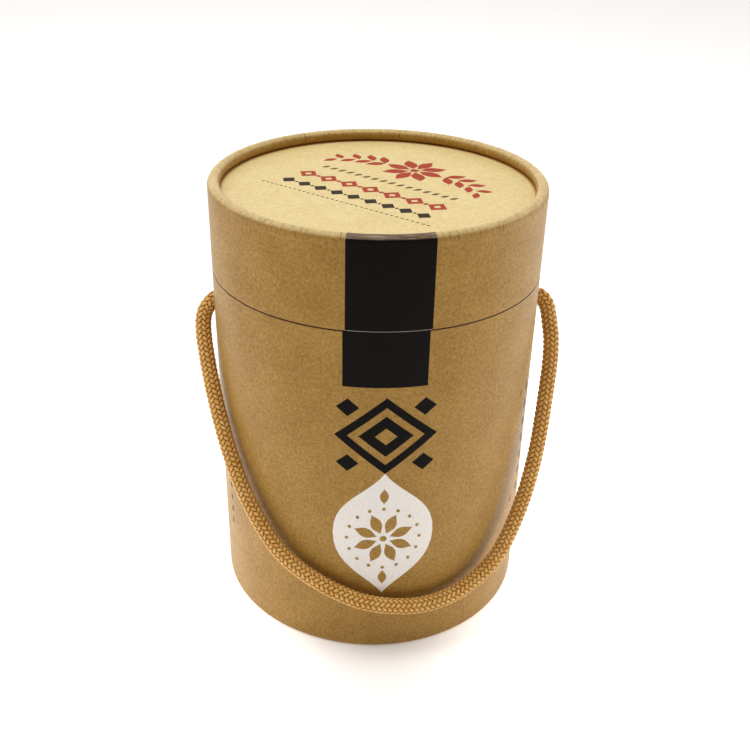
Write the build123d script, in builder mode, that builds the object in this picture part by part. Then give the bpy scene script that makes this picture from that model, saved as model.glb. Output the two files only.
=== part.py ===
"""Round gift box of rolled board with a lift-off lid and a braided rope handle.

The body is a spiral-wound board tube with a printed kraft wrap. A second, longer
tube is glued inside it and stands out at the top as the neck that the lid slides
over. Both ends of the box are closed by board discs, each held behind the rolled
rim of its own tube. The handle is one length of braided rope whose ends go through
two holes in the walls and are knotted inside.

Millimetres. The origin is in the middle of the base, +Z is up, the printed front
faces -Y, and the rope holes lie on the X axis.
"""
import os
from math import cos, pi, radians, sin, tan

from build123d import *

os.makedirs("parts", exist_ok=True)

# Overall sizes of the closed box
tube_diameter = 115.0
box_height = 160.0
lid_height = 31.0
seam_gap = 0.3          # lid's lower edge above the shoulder of the body

# Boards and papers
lid_board = 1.4
neck_board = 1.4
lid_panel_board = 1.6
base_panel_board = 1.6
paper = 0.2
lid_fit = 0.3           # running gap round the neck, under the lid's wall

# Rolled rims, each a wall turned inwards round a thin hollow core
lid_curl_hollow = 0.5   # radius of the core
base_curl_hollow = 0.2
curl_turn = 270.0       # degrees from the outer wall over the crown to the tip
foot_flat = 0.3         # depth of the flat that the base rim stands on
foot_wrap_turn = 90.0   # degrees to where the wrap ends, inside the flat

# Neck
neck_headroom = 0.8     # between the neck's top edge and the lid's lining
neck_lead = 0.5         # rounding that guides the lid on

# Wrap's lap at the back
lap_width = 9.0
lap_lift = 0.1          # what the pressed lap adds to the wrap's thickness

# Rope handle
rope_diameter = 6.0
rope_play = 0.8         # between the rope and the edge of its hole
hole_below_shoulder = 14.0
rope_lean = 34.0        # degrees from hanging straight down, towards the front
knot_seat = 0.75        # between the knot's face and the wall, on the rope's axis
knot_radius = 8.0
knot_length = 13.5
knot_crown = 1.6        # by which its middle stands out past its ends
knot_tail = 2.0

# One overrun for every cut that runs past its piece
overrun = 5.0

# Sizes that follow from those above
tube_radius = tube_diameter / 2
board_radius = tube_radius - paper
shoulder_height = box_height - lid_height
lid_edge_height = shoulder_height + seam_gap
lid_inner_radius = board_radius - lid_board
body_board = lid_board + lid_fit
neck_radius = board_radius - body_board
neck_bore_radius = neck_radius - neck_board
lining_bore_radius = neck_bore_radius - paper

lid_bead_radius = lid_curl_hollow + lid_board + paper
lid_bead_height = box_height - lid_bead_radius
lid_face_height = box_height - 2 * lid_bead_radius
lid_panel_top = lid_face_height - paper
lid_panel_underside = lid_panel_top - lid_panel_board
lid_ceiling = lid_panel_underside - paper
neck_top = lid_ceiling - neck_headroom

base_bead_radius = base_curl_hollow + body_board + paper
base_bead_height = base_bead_radius - foot_flat
base_face_height = base_bead_height + base_curl_hollow + body_board
base_panel_underside = base_face_height + paper
base_panel_top = base_panel_underside + base_panel_board
floor_height = base_panel_top + paper

rope_radius = rope_diameter / 2
hole_radius = rope_radius + rope_play
hole_height = shoulder_height - hole_below_shoulder
knot_face = lining_bore_radius - knot_seat


def rolled_wall(bead_radius, bead_height, hollow, thickness, edge_height, turn):
    """Draw a wall's section, from its cut edge up and round into its rolled rim."""
    centre = (tube_radius - bead_radius, bead_height)
    inside = CenterArc(centre, hollow, 0, turn)
    outside = CenterArc(centre, hollow + thickness, 0, turn)
    Line(inside @ 1, outside @ 1)
    inner_wall = centre[0] + hollow
    outer_wall = inner_wall + thickness
    Polyline(outside @ 0, (outer_wall, edge_height), (inner_wall, edge_height), inside @ 0)


def ring(outer_radius, inner_radius):
    """Draw the section of a plain sleeve."""
    Circle(outer_radius)
    Circle(inner_radius, mode=Mode.SUBTRACT)


def cut_rope_holes():
    """Punch the two opposite holes through the wall of the open part."""
    with BuildSketch(Plane.YZ) as hole:
        with Locations((0, hole_height)):
            Circle(hole_radius)
    extrude(hole.sketch, amount=tube_radius + overrun, both=True, mode=Mode.SUBTRACT)


def lay_back_lap(low, high):
    """Thicken the wrap in a strip at the back, where its end laps over its start."""
    with BuildSketch(Plane.XY.offset(low)) as lap:
        ring(tube_radius + lap_lift, tube_radius - paper / 2)
        with Locations((0, tube_radius)):
            Rectangle(lap_width, tube_radius, mode=Mode.INTERSECT)
    extrude(lap.sketch, amount=high - low)


# Body wall, rolled inwards at the foot and pressed flat where it stands
with BuildPart() as body_wall:
    with BuildSketch(Plane.XZ):
        with BuildLine():
            rolled_wall(base_bead_radius, base_bead_height, base_curl_hollow, body_board,
                        shoulder_height, -curl_turn)
        make_face()
    revolve(axis=Axis.Z)
    split(bisect_by=Plane.XY, keep=Keep.TOP)
    cut_rope_holes()

# Printed kraft wrap of the body, turned under the foot as far as the flat
with BuildPart() as body_wrap:
    with BuildSketch(Plane.XZ):
        with BuildLine():
            rolled_wall(base_bead_radius, base_bead_height, base_curl_hollow + body_board, paper,
                        shoulder_height, -foot_wrap_turn)
        make_face()
    revolve(axis=Axis.Z)
    split(bisect_by=Plane.XY, keep=Keep.TOP)
    lay_back_lap(base_bead_height, shoulder_height)
    cut_rope_holes()

# Inner tube, glued in, whose top is the neck
with BuildPart() as neck_sleeve:
    with BuildSketch(Plane.XY.offset(base_panel_top)):
        ring(neck_radius, neck_bore_radius)
    extrude(amount=neck_top - base_panel_top)
    top_edges = neck_sleeve.edges().filter_by(GeomType.CIRCLE).group_by(Axis.Z)[-1]
    fillet(top_edges.sort_by(SortBy.RADIUS)[-1], radius=neck_lead)
    cut_rope_holes()

with BuildPart() as neck_lining:
    with BuildSketch(Plane.XY.offset(base_panel_top)):
        ring(neck_bore_radius, lining_bore_radius)
    extrude(amount=neck_top - base_panel_top)
    cut_rope_holes()

# Base disc, held behind the rolled foot, with its outer paper and its lining
with BuildPart() as base_panel:
    with BuildSketch(Plane.XY.offset(base_panel_underside)):
        Circle(neck_radius)
    extrude(amount=base_panel_board)

with BuildPart() as base_outer_paper:
    with BuildSketch(Plane.XY.offset(base_face_height)):
        Circle(neck_radius)
    extrude(amount=paper)

with BuildPart() as base_lining:
    with BuildSketch(Plane.XY.offset(base_panel_top)):
        Circle(lining_bore_radius)
    extrude(amount=paper)

# Lid wall, rolled inwards over the top disc
with BuildPart() as lid_wall:
    with BuildSketch(Plane.XZ):
        with BuildLine():
            rolled_wall(lid_bead_radius, lid_bead_height, lid_curl_hollow, lid_board,
                        lid_edge_height, curl_turn)
        make_face()
    revolve(axis=Axis.Z)

# Printed kraft wrap of the lid, rolled in with the wall
with BuildPart() as lid_wrap:
    with BuildSketch(Plane.XZ):
        with BuildLine():
            rolled_wall(lid_bead_radius, lid_bead_height, lid_curl_hollow + lid_board, paper,
                        lid_edge_height, curl_turn)
        make_face()
    revolve(axis=Axis.Z)
    lay_back_lap(lid_edge_height, lid_bead_height)

# Lid disc with its printed face and its lining
with BuildPart() as lid_panel:
    with BuildSketch(Plane.XY.offset(lid_panel_underside)):
        Circle(lid_inner_radius)
    extrude(amount=lid_panel_board)

with BuildPart() as lid_face_paper:
    with BuildSketch(Plane.XY.offset(lid_panel_top)):
        Circle(lid_inner_radius)
    extrude(amount=paper)

with BuildPart() as lid_lining:
    with BuildSketch(Plane.XY.offset(lid_ceiling)):
        Circle(lid_inner_radius)
    extrude(amount=paper)

for piece, name in (
    (body_wall, "body_wall"),
    (body_wrap, "body_wrap"),
    (neck_sleeve, "neck_sleeve"),
    (neck_lining, "neck_lining"),
    (base_panel, "base_panel"),
    (base_outer_paper, "base_outer_paper"),
    (base_lining, "base_lining"),
    (lid_wall, "lid_wall"),
    (lid_wrap, "lid_wrap"),
    (lid_panel, "lid_panel"),
    (lid_face_paper, "lid_face_paper"),
    (lid_lining, "lid_lining"),
):
    piece.part.label = name
    export_step(piece.part, f"parts/{name}.step")

# Stopper knots inside the wall. Each is a barrel of rope turns pulled tight, drawn as
# a crowned section along the rope's axis and turned about it.
rope_axis = Axis((0, 0, hole_height), (1, 0, 0))
knot_end_radius = knot_radius - knot_crown
for side, name in ((-1, "rope_knot_left"), (1, "rope_knot_right")):
    section = Plane(origin=(side * knot_face, 0, hole_height), x_dir=(-side, 0, 0), z_dir=(0, -1, 0))
    with BuildPart() as knot:
        with BuildSketch(section):
            with BuildLine():
                face_edge = (0, knot_end_radius)
                tail_edge = (knot_length, knot_end_radius)
                tail_end = knot_length + knot_tail
                Line((0, 0), face_edge)
                ThreePointArc(face_edge, (knot_length / 2, knot_radius), tail_edge)
                Polyline(tail_edge, (knot_length, rope_radius), (tail_end, rope_radius), (tail_end, 0), (0, 0))
            make_face()
        revolve(axis=rope_axis)
    knot.part.label = name
    export_step(knot.part, f"parts/{name}.step")

# Rope between its knots. Each point is measured out from the tube's wall and down
# from the holes, in the leaning plane that the handle hangs in, and the two legs meet
# at the bottom of the loop.
left_leg = [(-0.5, 0), (2.7, 1.8), (4.5, 5.2), (4.7, 12), (4.9, 26), (4.6, 44.5), (-0.8, 57),
            (-9.4, 72.5), (-19.3, 88), (-33, 101.5), (-51.5, 110.8)]
right_leg = [(-0.5, 0), (2.9, 1.7), (5.6, 4.8), (6.7, 9), (6.9, 19), (5.4, 38.5), (0.9, 60.5),
             (-7.5, 81.5), (-22, 102.5), (-42, 111.8)]
route = [(-knot_face, 0)]
route += [(-(tube_radius + out), down) for out, down in left_leg]
route += [(tube_radius + out, down) for out, down in reversed(right_leg)]
route += [(knot_face, 0)]

fillet_share = 0.45     # of the shorter run beside a bend
runs = [Vector(*b) - Vector(*a) for a, b in zip(route, route[1:])]
bend_radii = []
for before, after in zip(runs, runs[1:]):
    shorter = min(before.length, after.length)
    half_turn = radians(before.get_angle(after)) / 2
    bend_radii.append(fillet_share * shorter / tan(half_turn))
print("rope bend radii", [round(r, 1) for r in bend_radii])

lean = radians(rope_lean)
hanging = Plane(
    origin=(0, 0, hole_height),
    x_dir=(1, 0, 0),
    z_dir=(0, cos(lean), -sin(lean)),
)
with BuildPart() as rope_handle:
    with BuildLine(hanging) as rope_line:
        FilletPolyline(*route, radius=bend_radii)
    with BuildSketch(Plane(origin=rope_line.line @ 0, z_dir=rope_line.line % 0)):
        Circle(rope_radius)
    sweep()
rope_handle.part.label = "rope_handle"
export_step(rope_handle.part, "parts/rope_handle.step")
rope_length = sum(edge.length for edge in rope_line.edges())
print("rope length", round(rope_length, 1), "volume over section times length",
      round(rope_handle.part.volume / (pi * rope_radius ** 2 * rope_length), 4))
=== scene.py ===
# %% [markdown]
# # A kraft gift tube with a rope handle
# The box is made of paper: board tubes under a printed kraft wrap, a lid with a rolled rim,
# and a braided rope through two holes. The frame that is loaded here holds those pieces at
# their real size. This file adds what a customer sees: the paper's fibres, the ink, the
# crinkled rim and the braid of the rope.

# %% Load the frame
import math

import bpy
import numpy as np
from mathutils import Matrix, Vector


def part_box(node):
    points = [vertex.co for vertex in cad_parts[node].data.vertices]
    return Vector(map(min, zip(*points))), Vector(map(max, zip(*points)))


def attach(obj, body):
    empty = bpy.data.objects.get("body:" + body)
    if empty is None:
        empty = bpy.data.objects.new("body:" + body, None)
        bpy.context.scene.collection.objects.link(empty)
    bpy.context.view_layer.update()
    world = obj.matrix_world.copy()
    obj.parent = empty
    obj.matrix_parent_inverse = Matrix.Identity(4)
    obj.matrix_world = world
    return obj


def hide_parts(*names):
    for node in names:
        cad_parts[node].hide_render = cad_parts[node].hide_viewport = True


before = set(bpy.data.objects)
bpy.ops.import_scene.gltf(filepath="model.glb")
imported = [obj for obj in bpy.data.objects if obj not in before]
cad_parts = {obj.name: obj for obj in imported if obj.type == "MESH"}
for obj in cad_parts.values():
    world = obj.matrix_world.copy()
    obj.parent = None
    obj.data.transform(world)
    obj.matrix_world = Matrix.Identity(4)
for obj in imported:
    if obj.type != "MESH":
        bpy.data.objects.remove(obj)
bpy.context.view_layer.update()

print("frame nodes:", len(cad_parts))

# %% [markdown]
# ## Sizes that come from the frame
# Nothing is measured twice. The radius of the tube, the height of the seam and the size of
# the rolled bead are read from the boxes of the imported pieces, so the paper that is modelled
# below lands on them by itself. Lengths are metres, and mm makes the small ones readable.

# %% Read the sizes
mm = 0.001
tube_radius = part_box("body_wrap")[1][0]
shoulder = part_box("body_wrap")[1][2]
lid_edge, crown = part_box("lid_wrap")[0][2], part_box("lid_wrap")[1][2]
face_under, face_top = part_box("lid_face_paper")[0][2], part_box("lid_face_paper")[1][2]
paper = face_top - face_under
bead = (crown - face_top) / 2
lid_bead_height = crown - bead
foot_bead_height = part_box("base_outer_paper")[0][2] - (bead - paper)
neck_radius, neck_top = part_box("neck_sleeve")[1][0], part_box("neck_sleeve")[1][2]
neck_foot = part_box("neck_sleeve")[0][2]
neck_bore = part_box("neck_lining")[1][0]
knot_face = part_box("rope_knot_right")[1][0]
hole_height = (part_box("rope_knot_right")[0][2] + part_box("rope_knot_right")[1][2]) / 2
hole_radius = 3.8 * mm
seam = lid_edge - shoulder
print(f"tube radius {tube_radius / mm:.2f}, seam at {lid_edge / mm:.2f}, bead radius {bead / mm:.2f} mm")

# %% [markdown]
# ## The camera
# A product photograph is taken with a long lens from a little above. The lens, the height
# and the small tilt were found by laying the rim, the seam and the foot of the real box over
# the picture. The eye is set first, and the camera is then turned to look at its target and
# rolled about its own axis.

# %% Place the camera
eye = Vector((-25.2, -328.0, 267.0)) * mm
target = Vector((0.0, 0.0, 79.94)) * mm
roll = math.radians(1.279)
bpy.ops.object.camera_add(location=eye)
camera = bpy.context.object
camera.data.sensor_width = 36
camera.data.lens = 48.072
camera.data.shift_x = 0.00161
camera.data.shift_y = 0.00657
camera.data.clip_start = 0.01
looking = (target - eye).to_track_quat("-Z", "Y").to_matrix() @ Matrix.Rotation(roll, 3, "Z")
camera.rotation_euler = looking.to_euler()
bpy.context.scene.camera = camera

# %% [markdown]
# ## A short hand for material nodes
# Every finish below is a small web of nodes. add() puts in one node, gives its sockets their
# values or links, and returns its first output, so a web reads like a sum.

# %% Helpers for materials
def add(tree, kind, values=None, output=0, **settings):
    """Add a node, fill its sockets and return one output."""
    node = tree.nodes.new("ShaderNode" + kind)
    for key, value in settings.items():
        setattr(node, key, value)
    for key, value in (values or {}).items():
        if isinstance(value, bpy.types.NodeSocket):
            tree.links.new(value, node.inputs[key])
        else:
            node.inputs[key].default_value = value
    return node.outputs[output]


def sums(tree, operation, first, second=0.0):
    """One step of arithmetic on numbers or sockets."""
    return add(tree, "Math", {0: first, 1: second}, operation=operation)


def ramp(tree, value, low, high, low_to=0.0, high_to=1.0):
    """A value mapped smoothly from low..high to a new range, and held at its ends."""
    values = {0: value, 1: low, 2: high, 3: low_to, 4: high_to}
    return add(tree, "MapRange", values, interpolation_type="SMOOTHSTEP")


def blend(tree, share, first, second):
    """Two colours mixed by a share."""
    values = {0: share, 6: first, 7: second}
    return add(tree, "Mix", values, output=2, data_type="RGBA")


def tinted(tree, first, second, share=1.0):
    """A colour multiplied by another."""
    values = {0: share, 6: first, 7: second}
    return add(tree, "Mix", values, output=2, data_type="RGBA", blend_type="MULTIPLY")


def noise(tree, vector, scale, detail=3.0, roughness=0.5):
    """Plain noise, centred on a half."""
    values = {"Vector": vector, "Scale": scale, "Detail": detail, "Roughness": roughness}
    return add(tree, "TexNoise", values)


def stretched(tree, vector, x, y, z):
    """A vector in which x, y and z of the surface become one unit each."""
    values = {"Vector": vector, "Scale": (1 / x, 1 / y, 1 / z)}
    return add(tree, "Mapping", values)


def parts_of(tree, vector):
    """The x, y and z of a vector."""
    split = tree.nodes.new("ShaderNodeSeparateXYZ")
    tree.links.new(vector, split.inputs[0])
    return tuple(split.outputs)


def length_of(tree, vector):
    """How long a vector is."""
    return add(tree, "VectorMath", {0: vector}, 1, operation="LENGTH")


def object_place(tree):
    """The coordinates of the surface itself, which stay with a piece when it moves."""
    return add(tree, "TexCoord", output=3)


def new_finish(name):
    """An empty material with its shader, ready to be wired."""
    finish = bpy.data.materials.new(name)
    finish.use_nodes = True
    return finish, finish.node_tree, finish.node_tree.nodes["Principled BSDF"]


def dress(piece, *finishes):
    """Give a piece its materials."""
    piece.data.materials.clear()
    for finish in finishes:
        piece.data.materials.append(finish)


def rolled_coordinates(tree):
    """Where a point lies on the rolled-up sheet: round the tube, up it, and out from its axis."""
    x, y, z = parts_of(tree, object_place(tree))
    angle = sums(tree, "ARCTAN2", x, sums(tree, "MULTIPLY", y, -1.0))
    arc = sums(tree, "MULTIPLY", angle, tube_radius)
    out = length_of(tree, add(tree, "CombineXYZ", {0: x, 1: y, 2: 0.0}))
    return add(tree, "CombineXYZ", {0: arc, 1: z, 2: out}), z, out


# %% [markdown]
# ## Light and floor
# The photograph is a bright tabletop picture. A white background behind the box, a little to
# the left, gives the lid a sheen, because it is seen at a low angle there, and lights the
# edges of the tube. A soft light hangs overhead, a white card stands on each side, and the
# side towards the camera is the darkest. The table throws most light back close beside the
# box, where it is warmed by the paper, so the floor glows there. The picture has no colour
# grading, so the plain Standard view is used.

# %% Set the lights and the floor
def soft_light(name, place, aim, size, power):
    """A square area light at place, facing aim."""
    bpy.ops.object.light_add(type="AREA", location=place)
    light = bpy.context.object
    light.name = name
    light.data.size = size
    light.data.energy = power
    light.rotation_euler = (Vector(aim) - Vector(place)).to_track_quat("-Z", "Y").to_euler()


def studio_sky(front, back, above, turned):
    """A sky of three brightnesses that run softly into each other. Its bright part is turned
    some degrees to the left of straight behind."""
    world = bpy.data.worlds.new("studio_sky")
    bpy.context.scene.world = world
    world.use_nodes = True
    tree = world.node_tree
    direction = add(tree, "TexCoord", output=0)
    aside = math.radians(turned)
    brightest = (-math.sin(aside), math.cos(aside), 0)
    along = add(tree, "VectorMath", {0: direction, 1: brightest}, 1, operation="DOT_PRODUCT")
    behind = ramp(tree, along, -0.35, 1.0, front, back)
    high = ramp(tree, parts_of(tree, direction)[2], 0.35, 0.9)
    low = sums(tree, "SUBTRACT", 1.0, high)
    strength = sums(tree, "ADD", sums(tree, "MULTIPLY", behind, low), sums(tree, "MULTIPLY", high, above))
    tree.links.new(strength, tree.nodes["Background"].inputs["Strength"])
    tree.nodes["Background"].inputs["Color"].default_value = (1, 1, 1, 1)


def glowing_floor(apart, beside, far):
    """White floor that glows close beside the box, less apart from it, and a little more far off."""
    finish, tree, shader = new_finish("floor_white")
    shader.inputs["Base Color"].default_value = (0.93, 0.93, 0.93, 1)
    shader.inputs["Roughness"].default_value = 0.8
    shader.inputs["Emission Color"].default_value = (1.0, 0.93, 0.84, 1)
    place = object_place(tree)
    aside = sums(tree, "ABSOLUTE", parts_of(tree, place)[0])
    away = length_of(tree, place)
    close = sums(tree, "MULTIPLY", ramp(tree, aside, -0.01, 0.075), ramp(tree, away, 0.10, 0.30, 1.0, 0.0))
    glow = sums(tree, "ADD", ramp(tree, close, 0.0, 1.0, apart, beside), ramp(tree, away, 0.5, 1.0, 0.0, far))
    tree.links.new(glow, shader.inputs["Emission Strength"])
    return finish


studio_sky(front=0.07, back=1.48, above=0.55, turned=32)
soft_light("overhead", place=(-0.16, 0.08, 1.15), aim=(0, 0, 0.1), size=1.0, power=9.4)
soft_light("left_card", place=(-0.60, 0.05, 0.22), aim=(0, 0, 0.06), size=0.6, power=0.35)
soft_light("right_card", place=(0.60, 0.05, 0.16), aim=(0, 0, 0.06), size=0.7, power=2.50)
bpy.context.scene.view_settings.view_transform = "Standard"
bpy.context.scene.view_settings.look = "None"

bpy.ops.mesh.primitive_plane_add(size=6.0)
floor = bpy.context.object
floor.name = "floor"
dress(floor, glowing_floor(apart=0.18, beside=0.88, far=0.12))

# %% [markdown]
# ## Kraft paper
# Kraft is unbleached pulp, so its colour isn't even. There are soft clouds a centimetre wide,
# a strong mottle of a millimetre and less, and single fibres: the dark ones lie round the
# tube and the pale ones up it. The noise runs on coordinates unrolled from the tube, so that
# the fibres follow the wall and meet at the lap at the back, as on a real wrap. Round the
# rolled rim the wrap is gathered in fine folds, with painted shade in their creases, and it
# is painted pale on top, partly for wear by hands and partly as painted light from above.

# %% The paper's fibres, shared by every sheet
fold_width, gather_width = 0.9 * mm, 3.2 * mm
seam_shade_width, lap_line = 0.34 * mm, 0.42 * mm


def fibres(tree, sheet):
    """The mottle and the fibre masks of a sheet: soft value, dark fibres, pale fibres."""
    clouds = noise(tree, sheet, 85.0, 3.0)
    mottle = noise(tree, sheet, 960.0, 8.0, 0.80)
    soft = sums(tree, "ADD", sums(tree, "MULTIPLY", clouds, 0.15), sums(tree, "MULTIPLY", mottle, 0.85))
    along = noise(tree, stretched(tree, sheet, 2.6 * mm, 0.42 * mm, 0.6 * mm), 1.0, 4.0, 0.6)
    across = noise(tree, stretched(tree, sheet, 0.5 * mm, 1.9 * mm, 0.6 * mm), 1.0, 4.0, 0.6)
    dark = ramp(tree, along, 0.60, 0.74)
    pale = ramp(tree, across, 0.58, 0.76)
    return soft, dark, pale


def painted_rim_shade(tree, colour, out):
    """A disc's edge, painted a warm brown shade where it goes under the rolled bead and lies in its shadow.
    """
    under_bead = tube_radius - 2 * bead
    # Painted shade: the disc is darkened warm brown just inside the foot of the bead.
    rim_shade_share = ramp(tree, out, under_bead - 0.5 * mm, under_bead + 0.2 * mm)
    return tinted(tree, colour, (0.80, 0.48, 0.27, 1), rim_shade_share)


def edge_lines(tree, colour, sheet, z):
    """The dark lines of a wrap: painted shade just under the shoulder, where the seam's gap lies in shadow,
    and a dark line along the lap at the back.
    """
    # Painted shade: the wrap just under the shoulder is darkened for the shadow in the seam's gap.
    below = ramp(tree, sums(tree, "SUBTRACT", shoulder, z), 0.10 * mm, seam_shade_width, 1.0, 0.0)
    on_body = ramp(tree, z, shoulder, shoulder + seam, 1.0, 0.0)
    colour = tinted(tree, colour, (0.13, 0.05, 0.02, 1), sums(tree, "MULTIPLY", below, on_body))
    arc = parts_of(tree, sheet)[0]
    from_lap = sums(tree, "SUBTRACT", math.pi * tube_radius, sums(tree, "ABSOLUTE", arc))
    near_lap = ramp(tree, from_lap, 0.12 * mm, lap_line, 0.8, 0.0)
    off_bead = ramp(tree, z, lid_bead_height - bead, lid_bead_height, 1.0, 0.0)
    return tinted(tree, colour, (0.42, 0.30, 0.20, 1), sums(tree, "MULTIPLY", near_lap, off_bead))


def rim_wear_and_shading(tree, colour, bump, sheet, z, soft):
    """A wrap gathered round the rolled rim: painted pale on top, partly for wear and partly as painted light
    from above, darkened in its creases as painted shade, and ridged across.
    """
    rim = ramp(tree, z, lid_bead_height - 0.9 * bead, lid_bead_height + 0.3 * bead)
    folds = noise(tree, stretched(tree, sheet, fold_width, 14 * mm, 14 * mm), 1.0, 5.0, 0.62)
    gathers = noise(tree, stretched(tree, sheet, gather_width, 9 * mm, 9 * mm), 1.0, 3.0, 0.5)
    # Painted light and wear: the top of the bead is painted paler in streaks along the folds, partly for wear
    # and partly for the light from above.
    on_top = ramp(tree, z, crown - 0.65 * bead, crown - 0.20 * bead)
    rubbed_and_top_lit = sums(tree, "MULTIPLY", on_top, ramp(tree, folds, 0.32, 0.56, 0.495, 0.9))
    bare = blend(tree, ramp(tree, soft, 0.38, 0.62), (0.470, 0.340, 0.135, 1), (0.640, 0.490, 0.225, 1))
    colour = blend(tree, rubbed_and_top_lit, colour, bare)
    # Painted shade: the creases between the rim's folds are darkened.
    crease_shade = sums(tree, "MULTIPLY", ramp(tree, folds, 0.56, 0.70), rim)
    colour = tinted(tree, colour, (0.55, 0.42, 0.30, 1), crease_shade)
    ridges = sums(tree, "MULTIPLY", sums(tree, "ADD", folds, gathers), rim)
    relief = {"Strength": 1.0, "Distance": 0.20 * mm, "Height": ridges, "Normal": bump}
    return colour, add(tree, "Bump", relief)


def kraft(name, pale_tone, deep_tone, sheet_of, roughness=0.58, fibre=0.75, gloss=0.5,
          wrapped=False, tucked=False):
    """Kraft paper between two tones. sheet_of gives the coordinates that its fibres follow."""
    finish, tree, shader = new_finish(name)
    sheet, z, out = sheet_of(tree)
    soft, dark, pale = fibres(tree, sheet)
    colour = blend(tree, ramp(tree, soft, 0.36, 0.66), deep_tone, pale_tone)
    colour = tinted(tree, colour, (0.66, 0.58, 0.48, 1), sums(tree, "MULTIPLY", dark, fibre))
    colour = blend(tree, sums(tree, "MULTIPLY", pale, fibre * 0.35), colour, (0.78, 0.60, 0.38, 1))
    height = sums(tree, "ADD", sums(tree, "MULTIPLY", dark, -0.5), soft)
    bump = add(tree, "Bump", {"Strength": 0.35, "Distance": 0.03 * mm, "Height": height})
    # Painted shade: tucked darkens a disc's edge where it goes under the rolled bead.
    if tucked:
        colour = painted_rim_shade(tree, colour, out)
    if wrapped:
        colour, bump = rim_wear_and_shading(tree, colour, bump, sheet, z, soft)
        colour = edge_lines(tree, colour, sheet, z)
    tree.links.new(colour, shader.inputs["Base Color"])
    tree.links.new(bump, shader.inputs["Normal"])
    uneven = ramp(tree, soft, 0.35, 0.65, roughness + 0.06, roughness - 0.06)
    tree.links.new(uneven, shader.inputs["Roughness"])
    shader.inputs["Specular IOR Level"].default_value = gloss
    shader.inputs["Specular Tint"].default_value = (1.0, 0.90, 0.70, 1)
    return finish


def flat_sheet(tree):
    """Coordinates of a sheet that lies flat, as on a disc."""
    place = object_place(tree)
    level = add(tree, "VectorMath", {0: place, 1: (1, 1, 0)}, operation="MULTIPLY")
    return place, parts_of(tree, place)[2], length_of(tree, level)


wrap_kraft = kraft("wrap_kraft", (0.450, 0.256, 0.056, 1), (0.272, 0.135, 0.0170, 1), rolled_coordinates,
                   roughness=0.45, gloss=0.32, wrapped=True)
# Painted light: the disc's paper is the wrap's kraft made much paler, for the overhead light and sheen on the
# lid's top. The base's outer paper gets the same finish.
lit_disc_kraft = kraft("lit_disc_kraft", (0.675, 0.540, 0.262, 1), (0.556, 0.415, 0.165, 1), flat_sheet,
                   roughness=0.5, fibre=0.35, gloss=0.28, tucked=True)
lining_kraft = kraft("lining_kraft", (0.46, 0.29, 0.12, 1), (0.38, 0.23, 0.09, 1), rolled_coordinates, 0.7)
floor_kraft = kraft("floor_kraft", (0.46, 0.29, 0.12, 1), (0.38, 0.23, 0.09, 1), flat_sheet, 0.7)
board_kraft = kraft("board_kraft", (0.34, 0.235, 0.135, 1), (0.25, 0.165, 0.09, 1), rolled_coordinates, 0.8)

# %% [markdown]
# ## Drawing with one point
# A tube is drawn the way a lathe works: half of its section is drawn as a line, and the line
# is spun about the upright axis. The pen is a single vertex. pen_to pulls a straight line out
# of it, and pen_round spins it about a centre, which gives a true arc for the rolled rim.

# %% Helpers for turned pieces
weld = mm / 200


def nothing_selected():
    """Leave edit mode and deselect every object, because operators act on all that is selected."""
    if bpy.context.mode != "OBJECT":
        bpy.ops.object.mode_set(mode="OBJECT")
    bpy.ops.object.select_all(action="DESELECT")


def only(piece):
    """Make one piece selected and active."""
    nothing_selected()
    piece.select_set(True)
    bpy.context.view_layer.objects.active = piece


def pen_down(name, x, z):
    """A new piece of one vertex at radius x and height z, in edit mode."""
    nothing_selected()
    bpy.ops.mesh.primitive_plane_add(size=mm)
    piece = bpy.context.object
    piece.name = piece.data.name = name
    bpy.ops.object.mode_set(mode="EDIT")
    bpy.ops.mesh.select_all(action="SELECT")
    bpy.ops.mesh.merge(type="CENTER")
    bpy.ops.transform.translate(value=(x, 0, z))
    return piece


def pen_to(dx, dz):
    """Pull a straight line from the pen."""
    bpy.ops.mesh.extrude_vertices_move(TRANSFORM_OT_translate={"value": (dx, 0, dz)})


def pen_round(x, z, degrees, steps):
    """Draw an arc about a centre. Positive degrees go from the outside over the top."""
    bpy.ops.mesh.spin(steps=steps, angle=math.radians(degrees), center=(x, 0, z), axis=(0, 1, 0))


def turn_line(piece, steps, degrees=360.0, start=0.0):
    """Spin the drawn line about the tube's axis and give the surface outward normals."""
    bpy.ops.mesh.select_all(action="SELECT")
    bpy.ops.mesh.spin(steps=steps, angle=math.radians(degrees), center=(0, 0, 0), axis=(0, 0, -1))
    bpy.ops.mesh.select_all(action="SELECT")
    bpy.ops.mesh.remove_doubles(threshold=weld)
    bpy.ops.mesh.normals_make_consistent(inside=False)
    bpy.ops.object.mode_set(mode="OBJECT")
    piece.rotation_euler.z = math.radians(start)
    bpy.ops.object.transform_apply(rotation=True)
    outermost = max(piece.data.polygons, key=lambda f: round(f.center.xy.length, 6))
    if outermost.normal.xy.dot(outermost.center.xy) < 0:
        bpy.ops.object.mode_set(mode="EDIT")
        bpy.ops.mesh.select_all(action="SELECT")
        bpy.ops.mesh.flip_normals()
        bpy.ops.object.mode_set(mode="OBJECT")


def apply_modifier(piece, kind, **settings):
    """Add a modifier with its settings and apply it."""
    only(piece)
    modifier = piece.modifiers.new(kind.lower(), kind)
    for key, value in settings.items():
        setattr(modifier, key, value)
    bpy.ops.object.modifier_apply(modifier=modifier.name)


def smooth(piece, degrees=40):
    """Smooth shading that keeps the cut edges sharp."""
    only(piece)
    bpy.ops.object.shade_smooth_by_angle(angle=math.radians(degrees))


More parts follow.
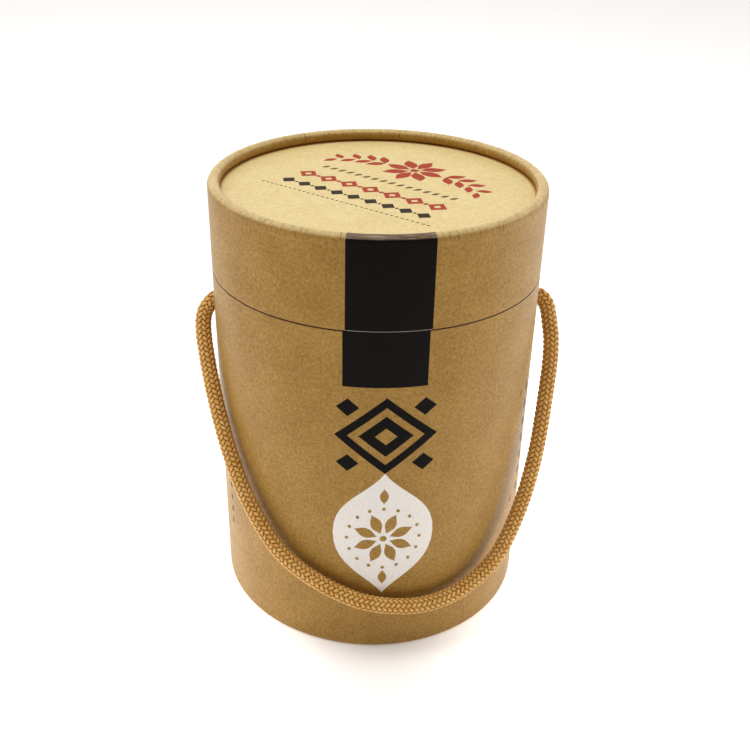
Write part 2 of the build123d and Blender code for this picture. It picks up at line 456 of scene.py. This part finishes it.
def told(piece):
    """Print what a piece came to."""
    faces = sum(len(f.vertices) - 2 for f in piece.data.polygons)
    print(f"{piece.name}: {faces} triangles, {piece.dimensions.x / mm:.2f} x {piece.dimensions.y / mm:.2f}"
          f" x {piece.dimensions.z / mm:.2f} mm")


# %% [markdown]
# ## The rope's route
# The rope is one length, knotted inside both walls. It hangs forward over the front of the
# box, stands off the wall near its holes and nestles against it further down, and its left
# leg comes in sooner than its right. Each point of the route is measured out from the tube's
# wall, down from the holes along the plane that the handle hangs in, and back from that plane
# towards the tube. The line is a smooth spline that these points steer.

# %% Draw the route
left_leg = [(-0.5, 0, 0), (1.2, 1.4, 0), (3.8, 4.9, 0), (4.4, 10.9, 0), (2.7, 23.6, 0), (-0.6, 40.4, 0),
            (-5.5, 58.4, 0), (-11.4, 74.0, 0.5), (-21.9, 92.1, 1.2), (-37.4, 103.3, -0.4),
            (-54.3, 110.7, 0.3)]
right_leg = [(-0.5, 0, 0), (2.7, 0.6, 0), (5.1, 3.9, 0), (5.6, 8.8, 0), (6.4, 19.3, 0), (3.4, 38.3, 1.0),
             (0.0, 59.2, 4.4), (-6.2, 80.1, 8.3), (-16.6, 99.3, 8.8), (-37.5, 111.4, 3.7)]
rope_diameter = 6.0 * mm
rope_lean = math.radians(34.0)


def hang(x, down=0.0, back=0.0):
    """A point x to the right, down from the holes along the lean, and back from the hanging plane."""
    forward = down * math.sin(rope_lean) - back * math.cos(rope_lean)
    sunk = down * math.cos(rope_lean) + back * math.sin(rope_lean)
    return Vector((x, -forward, hole_height - sunk))


route = [hang(-knot_face)]
route += [hang(-tube_radius - out * mm, down * mm, back * mm) for out, down, back in left_leg]
route += [hang(tube_radius + out * mm, down * mm, back * mm) for out, down, back in reversed(right_leg)]
route += [hang(knot_face)]


def smooth_line(name, points):
    """The vertices of a smooth spline steered by points."""
    line = bpy.data.curves.new(name, "CURVE")
    line.dimensions = "3D"
    spline = line.splines.new("NURBS")
    spline.points.add(len(points) - 1)
    for point, place in zip(spline.points, points):
        point.co = (*place, 1)
    spline.use_endpoint_u = True
    spline.order_u = 3
    spline.resolution_u = 24
    holder = bpy.data.objects.new(name, line)
    bpy.context.collection.objects.link(holder)
    drawn = bpy.data.meshes.new_from_object(holder)
    path = [v.co.copy() for v in drawn.vertices]
    bpy.data.objects.remove(holder)
    bpy.data.curves.remove(line)
    bpy.data.meshes.remove(drawn)
    return path


rope_path = smooth_line("rope_route", route)

# %% [markdown]
# ## The braid
# The rope is a round braid of twenty strands over a soft core. Ten strands wind one way
# and ten the other, and each goes over two and under two, which gives the small arrowheads
# of the photograph. A strand is a bundle of fine yarn, pressed a little flat by the others.
# The height of a strand above the core follows from a count of its crossings: it is high for
# two of them and low for the next two.

# %% Helpers for braided rope
strands_each_way = 10
turn_length = 19.0 * mm
strand_width = 1.10 * mm
strand_height = 0.98 * mm
weave_depth = 0.48 * mm
sides = 8


def resampled(path, step):
    """The path again at even steps, with the length run so far."""
    knots = np.array([tuple(p) for p in path])
    run = np.concatenate([[0], np.cumsum(np.linalg.norm(np.diff(knots, axis=0), axis=1))])
    count = max(int(round(run[-1] / step)), 8)
    at = np.linspace(0, run[-1], count + 1)
    return np.stack([np.interp(at, run, knots[:, k]) for k in range(3)], axis=1), at


def carried_frame(points):
    """Directions across the path, carried along it without twist."""
    along = np.gradient(points, axis=0)
    along /= np.linalg.norm(along, axis=1)[:, None]
    side = np.zeros_like(points)
    first = np.cross(along[0], (0.3, 0.2, 0.93))
    side[0] = first / np.linalg.norm(first)
    for k in range(1, len(points)):
        kept = side[k - 1] - along[k] * (side[k - 1] @ along[k])
        side[k] = kept / np.linalg.norm(kept)
    return along, side, np.cross(along, side)


def tube_faces(rings, around, first):
    """Quads of a tube of rings, closed at both ends, whose vertices start at first."""
    faces = []
    for ring in range(rings - 1):
        here = first + ring * around
        for k in range(around):
            after = (k + 1) % around
            faces.append((here + k, here + after, here + around + after, here + around + k))
    faces.append(tuple(first + k for k in reversed(range(around))))
    last = first + (rings - 1) * around
    faces.append(tuple(last + k for k in range(around)))
    return faces


def braid(name, path, radius, samples_per_turn=36):
    """A braided rope along a path, as one mesh of strands round a plain core."""
    points, at = resampled(path, turn_length / samples_per_turn)
    along, side, rise = carried_frame(points)
    wind = 2 * math.pi / turn_length
    lay_radius = radius - strand_height / 2 - weave_depth
    crossings = 2 * strands_each_way * at * wind / (2 * math.pi)
    vertices, faces, lengths, rounds, marks, prouds = [], [], [], [], [], []
    for number in range(2 * strands_each_way):
        way = 1 if number < strands_each_way else -1
        own = number % strands_each_way
        angle = way * wind * at + 2 * math.pi * own / strands_each_way
        wave = np.cos(math.pi / 2 * (crossings * way + 2 * own - 0.5)) * way
        lift = weave_depth * wave
        outward = side * np.cos(angle)[:, None] + rise * np.sin(angle)[:, None]
        centre = points + outward * (lay_radius + lift)[:, None]
        heading = np.gradient(centre, axis=0)
        heading /= np.linalg.norm(heading, axis=1)[:, None]
        across = np.cross(heading, outward)
        across /= np.linalg.norm(across, axis=1)[:, None]
        top = np.cross(across, heading)
        first = len(vertices)
        for ring in range(len(points)):
            for k in range(sides):
                turn = 2 * math.pi * k / sides
                wide = across[ring] * (math.cos(turn) * strand_width / 2 * (1.0 + 0.22 * wave[ring]))
                high = top[ring] * (math.sin(turn) * strand_height / 2 * (0.9 + 0.1 * wave[ring]))
                vertex = centre[ring] + wide + high
                vertices.append(tuple(vertex))
                prouds.append(np.linalg.norm(vertex - points[ring]) / radius)
        faces += tube_faces(len(points), sides, first)
        lengths += [v for v in at for _ in range(sides)]
        rounds += [k / sides for _ in at for k in range(sides)]
        marks += [(number * 0.618) % 1.0] * (len(points) * sides)
    core_sides, core_step = 16, 6
    core_points = points[::core_step]
    first = len(vertices)
    for ring in range(len(core_points)):
        for k in range(core_sides):
            turn = 2 * math.pi * k / core_sides
            out = side[ring * core_step] * math.cos(turn) + rise[ring * core_step] * math.sin(turn)
            vertices.append(tuple(core_points[ring] + out * (lay_radius - weave_depth - strand_height / 4)))
    yarn_faces = len(faces)
    faces += tube_faces(len(core_points), core_sides, first)
    extra = len(core_points) * core_sides
    lengths += [0.0] * extra
    rounds += [0.5] * extra
    marks += [0.5] * extra
    prouds += [0.0] * extra
    mesh = bpy.data.meshes.new(name)
    mesh.from_pydata(vertices, [], faces)
    for label, values in (("run", lengths), ("round", rounds), ("mark", marks), ("proud", prouds)):
        mesh.attributes.new(label, "FLOAT", "POINT").data.foreach_set("value", values)
    mesh.polygons.foreach_set("material_index", [0] * yarn_faces + [1] * (len(faces) - yarn_faces))
    mesh.shade_smooth()
    piece = bpy.data.objects.new(name, mesh)
    bpy.context.collection.objects.link(piece)
    only(piece)
    bpy.ops.object.mode_set(mode="EDIT")
    bpy.ops.mesh.select_all(action="SELECT")
    bpy.ops.mesh.normals_make_consistent(inside=False)
    bpy.ops.object.mode_set(mode="OBJECT")
    return piece


# %% [markdown]
# ## Silky yarn
# The rope is spun from shiny synthetic yarn. Its gloss runs along each strand, so fine ridges
# are raised along the strands and the shader is given a narrow golden highlight. Deep between
# the strands the yarn is much darker, because little light gets in and it leaves tinted.

# %% The yarn's finish
def yarn(name):
    """Golden synthetic yarn, whose filaments follow each strand."""
    finish, tree, shader = new_finish(name)
    run, round_, mark, proud = (
        add(tree, "Attribute", output=2, attribute_name=label) for label in ("run", "round", "mark", "proud"))
    filament = add(tree, "CombineXYZ", {
        0: sums(tree, "MULTIPLY", run, 420.0),
        1: sums(tree, "MULTIPLY", round_, 26.0),
        2: sums(tree, "MULTIPLY", mark, 60.0)})
    ridges = noise(tree, filament, 1.0, 3.0, 0.55)
    slow_run = add(tree, "CombineXYZ", {0: sums(tree, "MULTIPLY", run, 160.0), 1: mark, 2: 0.0})
    tone = noise(tree, slow_run, 1.0, 2.0)
    share = sums(tree, "ADD", sums(tree, "MULTIPLY", ridges, 0.6), sums(tree, "MULTIPLY", tone, 0.4))
    colour = blend(tree, ramp(tree, share, 0.36, 0.66), (0.60, 0.270, 0.040, 1), (0.78, 0.465, 0.130, 1))
    # Painted highlight: the crowns of the strands are painted paler, where the light catches them.
    colour = blend(tree, ramp(tree, proud, 0.93, 1.0, 0.0, 0.50), colour, (0.95, 0.68, 0.35, 1))
    colour = tinted(tree, colour, (0.30, 0.130, 0.035, 1), ramp(tree, proud, 0.70, 0.95, 1.0, 0.0))
    cavity = add(tree, "AmbientOcclusion", {"Distance": 1.1 * mm}, output=1, samples=6, only_local=True)
    colour = tinted(tree, colour, (0.50, 0.30, 0.16, 1), ramp(tree, cavity, 0.15, 0.85, 1.0, 0.0))
    bump = add(tree, "Bump", {"Strength": 0.6, "Distance": 0.05 * mm, "Height": ridges})
    tree.links.new(colour, shader.inputs["Base Color"])
    tree.links.new(bump, shader.inputs["Normal"])
    shader.inputs["Roughness"].default_value = 0.28
    shader.inputs["IOR"].default_value = 1.45
    shader.inputs["Specular Tint"].default_value = (1.0, 0.80, 0.52, 1)
    return finish


yarn_gold = yarn("yarn_gold")
# Painted shade: the core is painted very dark brown, as it shows only in the deep gaps between the strands.
core_shade, core_tree, core_shader = new_finish("core_shade")
deep = noise(core_tree, object_place(core_tree), 900.0)
core_tree.links.new(blend(core_tree, deep, (0.08, 0.022, 0.004, 1), (0.16, 0.050, 0.009, 1)),
                    core_shader.inputs["Base Color"])
core_shader.inputs["Roughness"].default_value = 0.8
core_shader.inputs["Specular IOR Level"].default_value = 0.1

# %% The handle
rope = braid("handle_rope", rope_path, rope_diameter / 2)
dress(rope, yarn_gold, core_shade)
told(rope)

# %% [markdown]
# ## The stopper knots
# Inside the box each end is tied in a barrel knot: the rope winds a little over twice round
# and is pulled against the wall. The same braid follows a short coil, and a stub of the end
# looks out of its middle.

# %% Tie the knots
def tie_knot(name, side):
    """A barrel knot inside the wall on one side, from the same rope."""
    low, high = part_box("rope_knot_left" if side < 0 else "rope_knot_right")
    outer = max(abs(low[0]), abs(high[0]))
    length = high[0] - low[0]
    coil_radius = (high[2] - low[2]) / 2 - rope_diameter * 0.44
    turns, per_turn = 2.2, 12
    count = int(turns * per_turn)
    first, last = outer - 0.46 * rope_diameter, outer - length + 0.75 * rope_diameter
    path = [Vector((side * outer, 0, hole_height)),
            Vector((side * (outer - 0.1 * rope_diameter), 0, hole_height))]
    for k in range(count + 1):
        share = k / count
        angle = 2 * math.pi * turns * share
        swell = coil_radius * (1 - 0.1 * abs(2 * share - 1))
        across = Vector((0, math.cos(angle), math.sin(angle))) * swell
        path.append(Vector((side * (first + (last - first) * share), 0, hole_height)) + across)
    tail = outer - length
    path.append(Vector((side * (tail + 0.2 * rope_diameter), 0, hole_height)))
    path.append(Vector((side * tail, 0, hole_height)))
    piece = braid(name, smooth_line(name + "_line", path), rope_diameter / 2 * 0.86, 22)
    dress(piece, yarn_gold, core_shade)
    told(piece)
    return piece


left_knot = tie_knot("left_knot", -1)
right_knot = tie_knot("right_knot", 1)

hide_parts("rope_handle")
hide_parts("rope_knot_left")
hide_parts("rope_knot_right")
for piece in (rope, left_knot, right_knot):
    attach(piece, "handle")

# %% [markdown]
# ## The wraps
# The printed wrap is one sheet of thin kraft. On the lid it runs up the wall and round the
# board's rolled rim, and its end is tucked down on the disc. On the body it runs down the
# wall and under the foot. Each is drawn as the line of its outer face, spun, and given the
# paper's thickness inwards, so the edges at the seam are real cut edges. The body's wrap is
# punched for the rope, and both have a lap strip at the back.

# %% Turn the wraps
around = 320
lap_width = 9.0 * mm
lap_lift = 0.1 * mm
rim_steps = 28


def lap_strip(name, low, high):
    """The end of the wrap, pasted over its start at the back."""
    half = math.degrees(lap_width / 2 / tube_radius)
    strip = pen_down(name, tube_radius + lap_lift, low)
    pen_to(0, high - low)
    turn_line(strip, 12, 2 * half, 90 - 2 * half)
    apply_modifier(strip, "SOLIDIFY", thickness=lap_lift * 1.5, offset=-1)
    return strip


def join(main, *others):
    """Make one piece of several."""
    only(main)
    for other in others:
        other.select_set(True)
    bpy.ops.object.join()


def punch_holes(piece):
    """Cut the two rope holes through a tube."""
    nothing_selected()
    bpy.ops.mesh.primitive_cylinder_add(vertices=56, radius=hole_radius, depth=3 * tube_radius,
                                        location=(0, 0, hole_height), rotation=(0, math.pi / 2, 0))
    cutter = bpy.context.object
    apply_modifier(piece, "BOOLEAN", object=cutter, operation="DIFFERENCE", solver="EXACT")
    bpy.data.objects.remove(cutter)


lid_paper = pen_down("lid_paper", tube_radius, lid_edge)
pen_to(0, lid_bead_height - lid_edge)
pen_round(tube_radius - bead, lid_bead_height, 270, rim_steps)
turn_line(lid_paper, around)
apply_modifier(lid_paper, "SOLIDIFY", thickness=paper, offset=-1, use_even_offset=True)
join(lid_paper, lap_strip("lid_lap", lid_edge, lid_bead_height))

foot_angle = math.degrees(math.asin(foot_bead_height / bead))
body_paper = pen_down("body_paper", tube_radius, shoulder)
pen_to(0, foot_bead_height - shoulder)
pen_round(tube_radius - bead, foot_bead_height, -foot_angle, rim_steps // 3)
turn_line(body_paper, around)
apply_modifier(body_paper, "SOLIDIFY", thickness=paper, offset=-1, use_even_offset=True)
punch_holes(body_paper)
join(body_paper, lap_strip("body_lap", foot_bead_height, shoulder))

for piece, node, body in ((lid_paper, "lid_wrap", "lid"), (body_paper, "body_wrap", "tube_body")):
    smooth(piece)
    dress(piece, wrap_kraft)
    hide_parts(node)
    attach(piece, body)
    told(piece)

# %% [markdown]
# ## Ink
# The prints are made as films of ink, because on the real box the ink is a layer with an
# edge of its own. A film is a copy of the paper's surface with almost no thickness, sunk a
# little into the paper so that no gap shows. Black ink on kraft is dull and very dark, and the
# fibres shine through a little. On the crown of the rim it is painted paler in thin streaks,
# partly for ink lost to every hand that opens the box, and partly as painted highlights.

# %% Inks
streak_length, streak_width = 7.0 * mm, 0.16 * mm
hairline_width = 0.20 * mm


def ink(name, colour, show_through=0.06, gloss=0.3, wear_and_glints=False):
    """Dull ink, with the paper's fibres showing through it a little."""
    finish, tree, shader = new_finish(name)
    sheet, z, _ = rolled_coordinates(tree)
    soft, _, pale = fibres(tree, sheet)
    thin = tuple(c * 0.6 for c in colour[:3]) + (1,)
    shade = blend(tree, ramp(tree, soft, 0.35, 0.65, 0.0, 0.22), colour, thin)
    shade = blend(tree, sums(tree, "MULTIPLY", pale, show_through), shade, (0.36, 0.22, 0.10, 1))
    if wear_and_glints:
        # Partly wear and partly painted light: on the crown the ink is painted paler in thin streaks, for ink
        # lost to hands and for painted glints of the overhead light.
        drawn_out = stretched(tree, sheet, streak_length, streak_width, streak_width)
        streaks = noise(tree, drawn_out, 1.0, 4.0, 0.6)
        held = ramp(tree, z, crown - 0.56 * bead, crown - 0.34 * bead)
        shade = blend(tree, sums(tree, "MULTIPLY", held, 0.85), shade, (0.150, 0.092, 0.060, 1))
        bare = sums(tree, "MULTIPLY", held, ramp(tree, streaks, 0.50, 0.60, 0.0, 0.9))
        shade = blend(tree, bare, shade, (0.400, 0.300, 0.210, 1))
        # A pale hairline along the lid's cut edge: partly the bare cut edge of the paper, partly a painted
        # highlight where the edge catches the light.
        from_edge = sums(tree, "ABSOLUTE", sums(tree, "SUBTRACT", z, lid_edge))
        hairline = ramp(tree, from_edge, hairline_width / 2, hairline_width, 1.0, 0.0)
        shade = blend(tree, hairline, shade, (0.38, 0.33, 0.27, 1))
    bump = add(tree, "Bump", {"Strength": 0.3, "Distance": 0.03 * mm, "Height": soft})
    tree.links.new(shade, shader.inputs["Base Color"])
    tree.links.new(bump, shader.inputs["Normal"])
    shader.inputs["Roughness"].default_value = 0.5
    shader.inputs["Specular IOR Level"].default_value = gloss
    return finish


black_ink = ink("black_ink", (0.006, 0.0045, 0.0038, 1), show_through=0.012, gloss=0.06, wear_and_glints=True)
white_ink = ink("white_ink", (0.92, 0.86, 0.80, 1), show_through=0.2)
red_ink = ink("red_ink", (0.340, 0.036, 0.012, 1), show_through=0.15, gloss=0.06)
brown_ink = ink("brown_ink", (0.110, 0.055, 0.018, 1), show_through=0.2, gloss=0.06)
dark_ink = ink("dark_ink", (0.030, 0.018, 0.008, 1), show_through=0.10, gloss=0.04)

# %% [markdown]
# ## The black band
# A band runs up the front, over the lid's rim and down its inner side. It is printed on the
# same sheet as the wrap, so it is drawn with the same pen along the same line, but spun only
# a few degrees. Along the lid's cut edge the ink gives way to a pale hairline, partly the bare
# paper of the cut edge and partly a painted highlight where the edge catches the light. The
# two parts don't line up exactly, because the lid can be turned.

# %% Print the band
film_proud, film_sunk = 0.03 * mm, 0.05 * mm
band_width = 27.3 * mm
band_foot = 109.7 * mm
body_band_shift = -0.7 * mm


def as_film(piece):
    """Give a print the thickness of a layer of ink, sunk a little into the paper."""
    thickness = film_proud + film_sunk
    apply_modifier(piece, "SOLIDIFY", thickness=thickness, offset=(film_proud - film_sunk) / thickness)


def band(name, shift, draw):
    """Spin a line that draw() pulls up the wall over the width of the band."""
    piece = draw(name)
    half = math.degrees(band_width / 2 / tube_radius)
    turn_line(piece, 28, 2 * half, -90 - half + math.degrees(shift / tube_radius))
    as_film(piece)
    return piece


def lid_line(name):
    """Up the lid's wall and over its rim."""
    piece = pen_down(name, tube_radius, lid_edge)
    pen_to(0, lid_bead_height - lid_edge)
    pen_round(tube_radius - bead, lid_bead_height, 235, rim_steps)
    return piece


def body_line(name):
    """From the band's foot up to the shoulder."""
    piece = pen_down(name, tube_radius, band_foot)
    pen_to(0, shoulder - band_foot)
    return piece


lid_band = band("lid_band", 0.0, lid_line)
body_band = band("body_band", body_band_shift, body_line)

# %% [markdown]
# ## Stamps
# The other prints are ornaments of three plain outlines: a round, a lozenge and a leaf. Each
# is a closed curve of four points. A smooth point gives a round and a sharp one a corner, so
# all three are the same circle with other handles. Outlines that lie inside each other leave
# bare paper between them when the flat curve is filled.

# %% Helpers for ornaments
def stamp(kind, x, y, width, height, turn=0.0):
    """One closed outline in millimetres, flat on the floor."""
    nothing_selected()
    bpy.ops.curve.primitive_bezier_circle_add(radius=mm / 2, location=(x * mm, y * mm, 0),
                                              rotation=(0, 0, math.radians(turn)))
    outline = bpy.context.object
    outline.scale = (width, height, 1)
    sharp = {"round": (), "leaf": (0, 2), "lozenge": (0, 1, 2, 3)}[kind]
    for number in sharp:
        point = outline.data.splines[0].bezier_points[number]
        point.handle_left_type = point.handle_right_type = "VECTOR"
    return outline


def ring_of(kind, count, x, y, radius, width, height, start=0.0):
    """Stamps set round a centre, each turned to point away from it."""
    stamps = []
    for k in range(count):
        turn = start + 360 * k / count
        place = (x + radius * math.cos(math.radians(turn)), y + radius * math.sin(math.radians(turn)))
        stamps.append(stamp(kind, *place, width, height, turn))
    return stamps


def ornament(name, stamps):
    """Fill the outlines and make them one flat mesh."""
    join(stamps[0], *stamps[1:])
    piece = bpy.context.object
    piece.name = piece.data.name = name
    piece.data.dimensions = "2D"
    piece.data.fill_mode = "BOTH"
    piece.data.resolution_u = 10
    bpy.ops.object.convert(target="MESH")
    bpy.ops.object.transform_apply(location=True, rotation=True, scale=True)
    bpy.ops.object.mode_set(mode="EDIT")
    bpy.ops.mesh.select_all(action="SELECT")
    bpy.ops.mesh.remove_doubles(threshold=weld)
    bpy.ops.mesh.normals_make_consistent(inside=False)
    bpy.ops.object.mode_set(mode="OBJECT")
    if sum(f.normal.z * f.area for f in piece.data.polygons) < 0:
        bpy.ops.object.mode_set(mode="EDIT")
        bpy.ops.mesh.flip_normals()
        bpy.ops.object.mode_set(mode="OBJECT")
    return piece


def roll_on(piece, arc=0.0):
    """Cut a flat print into narrow upright strips and roll it onto the tube, arc round from the front."""
    only(piece)
    strip = 1.0 * mm
    reach = max(abs(v.co.x) for v in piece.data.vertices)
    bpy.ops.object.mode_set(mode="EDIT")
    for k in range(-int(reach / strip), int(reach / strip) + 1):
        bpy.ops.mesh.select_all(action="SELECT")
        bpy.ops.mesh.bisect(plane_co=(k * strip, 0, 0), plane_no=(1, 0, 0))
    bpy.ops.object.mode_set(mode="OBJECT")
    for vertex in piece.data.vertices:
        angle = (vertex.co.x + arc) / tube_radius
        vertex.co = (tube_radius * math.sin(angle), -tube_radius * math.cos(angle), vertex.co.y)
    as_film(piece)


def lay_on_lid(piece, turn):
    """Lay a flat print on the lid's disc, turned about its middle."""
    only(piece)
    piece.rotation_euler.z = math.radians(turn)
    piece.location.z = face_top
    bpy.ops.object.transform_apply(location=True, rotation=True)
    as_film(piece)


# %% [markdown]
# ## The ornaments on the front
# Under the band is a black panel of nested lozenges, and below it a white medallion with a
# blossom left open in it, so that the kraft gives its colour. Heights are in millimetres
# above the table.

# %% Print the front
panel_middle = 91.5
panel = [stamp("lozenge", 0, panel_middle, 34, 29), stamp("lozenge", 0, panel_middle, 25.5, 21.8),
         stamp("lozenge", 0, panel_middle, 18, 15.4), stamp("lozenge", 0, panel_middle, 7.4, 6.4)]
for right in (-1, 1):
    for up in (-1, 1):
        panel.append(stamp("lozenge", 12.6 * right, panel_middle + 10.6 * up, 7.6, 6.6))
front_panel = ornament("front_panel", panel)
roll_on(front_panel)

medallion_middle = 51.5
blossom = [stamp("leaf", 0, medallion_middle, 51, 35, 90)]
blossom += ring_of("leaf", 8, 0, medallion_middle - 1.5, 6.6, 8.6, 3.9, 22.5)
blossom += [stamp("round", 0, medallion_middle - 1.5, 2.4, 2.4)]
blossom += ring_of("round", 16, 0, medallion_middle - 1.5, 12.6, 1.3, 1.3)
blossom += [stamp("leaf", 0, medallion_middle + away, 6.2, 3.0, 90) for away in (16.2, -18.4)]
medallion = ornament("front_medallion", blossom)
roll_on(medallion)

# %% [markdown]
# ## Small prints on the sides
# Close to the rope there is a small column of lozenges on each side, half hidden by the
# curve of the tube when the box is seen from the front.

# %% Print the sides
right_column = [stamp("lozenge", 0, 46 + 7.2 * k, 3.4, 4.6) for k in range(7)]
right_column += [stamp("leaf", -7.6, height, 3.0, 0.9, 60) for height in (44.5, 90.5)]
right_column += [stamp("leaf", 7.6, height, 3.0, 0.9, 120) for height in (44.5, 90.5)]
right_print = ornament("right_print", right_column)
roll_on(right_print, 67.5 * mm)

left_column = [stamp("lozenge", 0, 31.5 + 5.4 * k, 2.2, 3.0) for k in range(4)]
left_print = ornament("left_print", left_column)
roll_on(left_print, -69.5 * mm)

# %% [markdown]
# ## The ornament on the lid
# The lid carries a red spray over rows of small red, brown and black figures, turned about
# forty degrees from the band. Every row is a loop over one stamp.

# %% Print the lid
lid_turn = -40
spray = ring_of("leaf", 8, 0, 22, 6.9, 9.8, 4.5)
spray += [stamp("round", 0, 22, 3.0, 3.0)]
for side in (-1, 1):
    for k in range(4):
        x, rise = side * (15.4 + 5.2 * k), 22.5 - 0.75 * k * k
        spray.append(stamp("leaf", x, rise + 2.7, 7.8 - 0.6 * k, 3.4 - 0.25 * k, side * (50 - 6 * k)))
        spray.append(stamp("leaf", x, rise - 2.7, 7.8 - 0.6 * k, 3.4 - 0.25 * k, -side * (50 + 6 * k)))
for k in range(7):
    spray += [stamp("lozenge", -27 + 9 * k, -4.4, 7.4, 7.4), stamp("lozenge", -27 + 9 * k, -4.4, 2.8, 2.8)]
for k in range(6):
    spray.append(stamp("round", -22.5 + 9 * k, -4.4, 1.6, 1.6))
lid_red = ornament("lid_red", spray)

fine_row = [stamp("leaf", -27 + 3.6 * k, 5.6, 3.6, 1.5, 62) for k in range(16)]
lid_brown = ornament("lid_brown", fine_row)

dark_rows = [stamp("lozenge", -28 + 7 * k, -13.8, 5.4, 5.4) for k in range(9)]
dark_rows += [stamp("round", -24.5 + 7 * k, -13.8, 1.1, 1.1) for k in range(8)]
dark_rows += [stamp("leaf", -34 + 2.0 * k, -20.2, 1.5, 0.6) for k in range(35)]
lid_black = ornament("lid_black", dark_rows)

for piece in (lid_red, lid_brown, lid_black):
    lay_on_lid(piece, lid_turn)

# %% Ink the prints
for piece, finish, body in (
    (lid_band, black_ink, "lid"),
    (body_band, black_ink, "tube_body"),
    (front_panel, black_ink, "tube_body"),
    (medallion, white_ink, "tube_body"),
    (right_print, brown_ink, "tube_body"),
    (left_print, brown_ink, "tube_body"),
    (lid_red, red_ink, "lid"),
    (lid_brown, brown_ink, "lid"),
    (lid_black, dark_ink, "lid"),
):
    smooth(piece, 30)
    dress(piece, finish)
    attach(piece, body)
    told(piece)

# %% [markdown]
# ## The neck
# When the lid is lifted, the inner tube stands 24 mm out of the body. Its rim is softly
# rounded by wear, so it is drawn as a closed section with two small arcs at the top.

# %% Turn the neck
rounding = 0.45 * mm
lead = neck_radius - rounding
inner_lead = neck_bore + rounding
neck = pen_down("neck_tube", neck_bore, neck_foot)
pen_to(neck_radius - neck_bore, 0)
pen_to(0, neck_top - rounding - neck_foot)
pen_round(lead, neck_top - rounding, 90, 5)
pen_to(inner_lead - lead, 0)
pen_round(inner_lead, neck_top - rounding, 90, 5)
pen_to(0, neck_foot - neck_top + rounding)
turn_line(neck, around)
punch_holes(neck)
smooth(neck)
dress(neck, lining_kraft)
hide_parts("neck_sleeve")
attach(neck, "tube_body")
told(neck)

# %% [markdown]
# ## Finishes of the pieces that stay as they are
# The boards, discs and linings of the frame already have their true shape. They only get
# their finish: grey-brown board where the paper's edge shows it, and kraft inside.

# %% Dress the frame's own pieces
for node, finish in {
    "body_wall": board_kraft,
    "lid_wall": board_kraft,
    "lid_panel": board_kraft,
    "base_panel": board_kraft,
    "neck_lining": lining_kraft,
    "base_lining": floor_kraft,
    "lid_lining": floor_kraft,
    "lid_face_paper": lit_disc_kraft,
    "base_outer_paper": lit_disc_kraft,
}.items():
    dress(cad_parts[node], finish)
